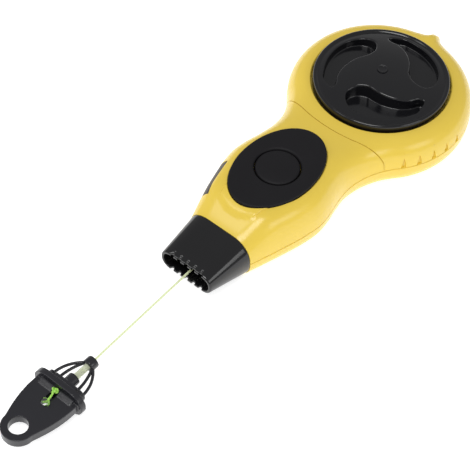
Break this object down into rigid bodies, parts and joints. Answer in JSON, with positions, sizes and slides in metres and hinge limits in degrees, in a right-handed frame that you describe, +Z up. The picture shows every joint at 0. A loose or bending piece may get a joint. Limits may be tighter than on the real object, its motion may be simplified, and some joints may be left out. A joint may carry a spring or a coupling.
{
  "type": "chalk line reel",
  "caption": "Handheld chalk line reel: round head with a top winding wheel, padded grip with a thumb brake button, tapered nozzle, and a flanged hook on its drawn-out line.",
  "frame": {"origin": "on the reel axis, at the flat underside the tool lies on", "axes": "+Z up through the winding wheel, +Y towards the back tip, -Y along the handle to the nozzle and hook, +X to the right seen from the handle"},
  "size_m": [0.076, 0.2569, 0.0284],
  "materials": {
    "yellow": "smooth semi-gloss moulded ABS",
    "black_gloss": "glossy moulded ABS",
    "black_plastic": "satin moulded nylon",
    "grip_rubber": "fine-textured soft rubber",
    "steel": "zinc-plated steel",
    "felt": "pressed felt",
    "line": "braided polyester line, pale yellow-green",
    "sleeve": "translucent soft plastic",
    "white_plastic": "acetal",
    "door": "dark brown moulded plastic"
  },
  "bodies": {
    "housing": {"lower_shell": "yellow", "handle_shell": "yellow", "head_cover": "yellow", "nozzle": "black_gloss", "grip_pad": "grip_rubber", "reel_spindle": "steel", "thrust_washer": "steel", "case_screws": "steel", "line_guide": "steel", "wiper_felts": "felt", "lever_pin": "steel", "dust_seal": "felt", "button_spring": "steel", "door_pin": "steel", "line_inside": "line", "line_outside": "line"},
    "reel": {"reel_core": "black_plastic", "reel_flange": "black_plastic", "line_winding": "line", "winding_wheel": "black_gloss", "wheel_cap": "black_gloss"},
    "button": {"button": "grip_rubber"},
    "brake": {"brake_lever": "white_plastic", "brake_shoe": "grip_rubber"},
    "door": {"filler_door": "door"},
    "hook": {"hook_plate": "black_plastic", "hook_cage": "black_plastic", "line_sleeve": "sleeve", "line_knot": "line"}
  },
  "joints": [
    {"name": "reel_spin", "type": "hinge", "parent": "housing", "child": "reel", "pos_m": [0, 0, 0.01], "axis": [0, 0, 1], "continuous": true},
    {"name": "button_press", "type": "slide", "parent": "housing", "child": "button", "axis": [0, 0, -1], "range_m": [0, 0.0022], "stiffness_N_per_m": 300, "springref_m": -0.002, "deforming": ["button_spring"]},
    {"name": "brake_tilt", "type": "hinge", "parent": "housing", "child": "brake", "pos_m": [-0.0065, -0.046, 0.0132], "axis": [1, 0, 0], "range_deg": [0, 6.6]},
    {"name": "door_swing", "type": "hinge", "parent": "housing", "child": "door", "pos_m": [-0.01926, -0.0838, 0.01205], "axis": [0.2329, -0.97, -0.0698], "range_deg": [0, 85]},
    {"name": "hook_slide", "type": "slide", "parent": "housing", "child": "hook", "axis": [0, 0.9983, 0.0586], "range_m": [0, 0.06651], "deforming": ["line_outside"]}
  ],
  "couplings": [
    {"joint": "brake_tilt", "follows": "button_press", "rad_per_m": 52.273}
  ]
}
